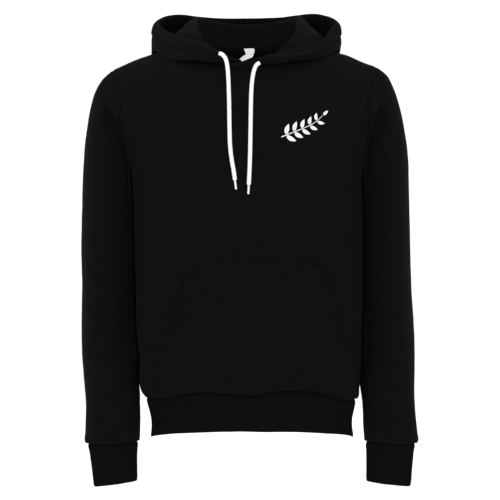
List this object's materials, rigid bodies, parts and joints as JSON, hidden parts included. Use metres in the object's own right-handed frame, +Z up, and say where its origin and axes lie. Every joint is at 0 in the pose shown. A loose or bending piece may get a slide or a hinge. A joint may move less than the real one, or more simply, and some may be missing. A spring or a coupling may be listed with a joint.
{
  "type": "pullover hoodie",
  "caption": "Long-sleeved pullover hoodie, filled out with its hood down: front pocket, rib cuffs and hem band, loose white drawcord ends.",
  "frame": {"origin": "middle of the neck opening, level with the high points of the two shoulders, where the wearer's neck and shoulders hold it", "axes": "+X is the wearer's left, +Y the wearer's back, +Z up the body"},
  "size_m": [0.5964, 0.2813, 0.8424],
  "materials": {
    "black_fleece": "soft brushed fleece, black, very matt with a faint nap",
    "black_rib": "fine rib knit, black, matt",
    "white_satin": "plain white woven satin, no words",
    "white_cord": "round braided white cotton cord"
  },
  "bodies": {
    "root": {"front": "black_fleece", "back": "black_fleece", "sleeve_left": "black_fleece", "sleeve_right": "black_fleece", "cuff_left": "black_rib", "cuff_right": "black_rib", "hem_band": "black_rib", "pocket": "black_fleece", "hood_left": "black_fleece", "hood_right": "black_fleece", "neck_tape": "black_rib", "neck_label": "white_satin", "cord_left": "white_cord", "cord_right": "white_cord", "cord_tip_left": "white_cord", "cord_tip_right": "white_cord"}
  },
  "joints": []
}
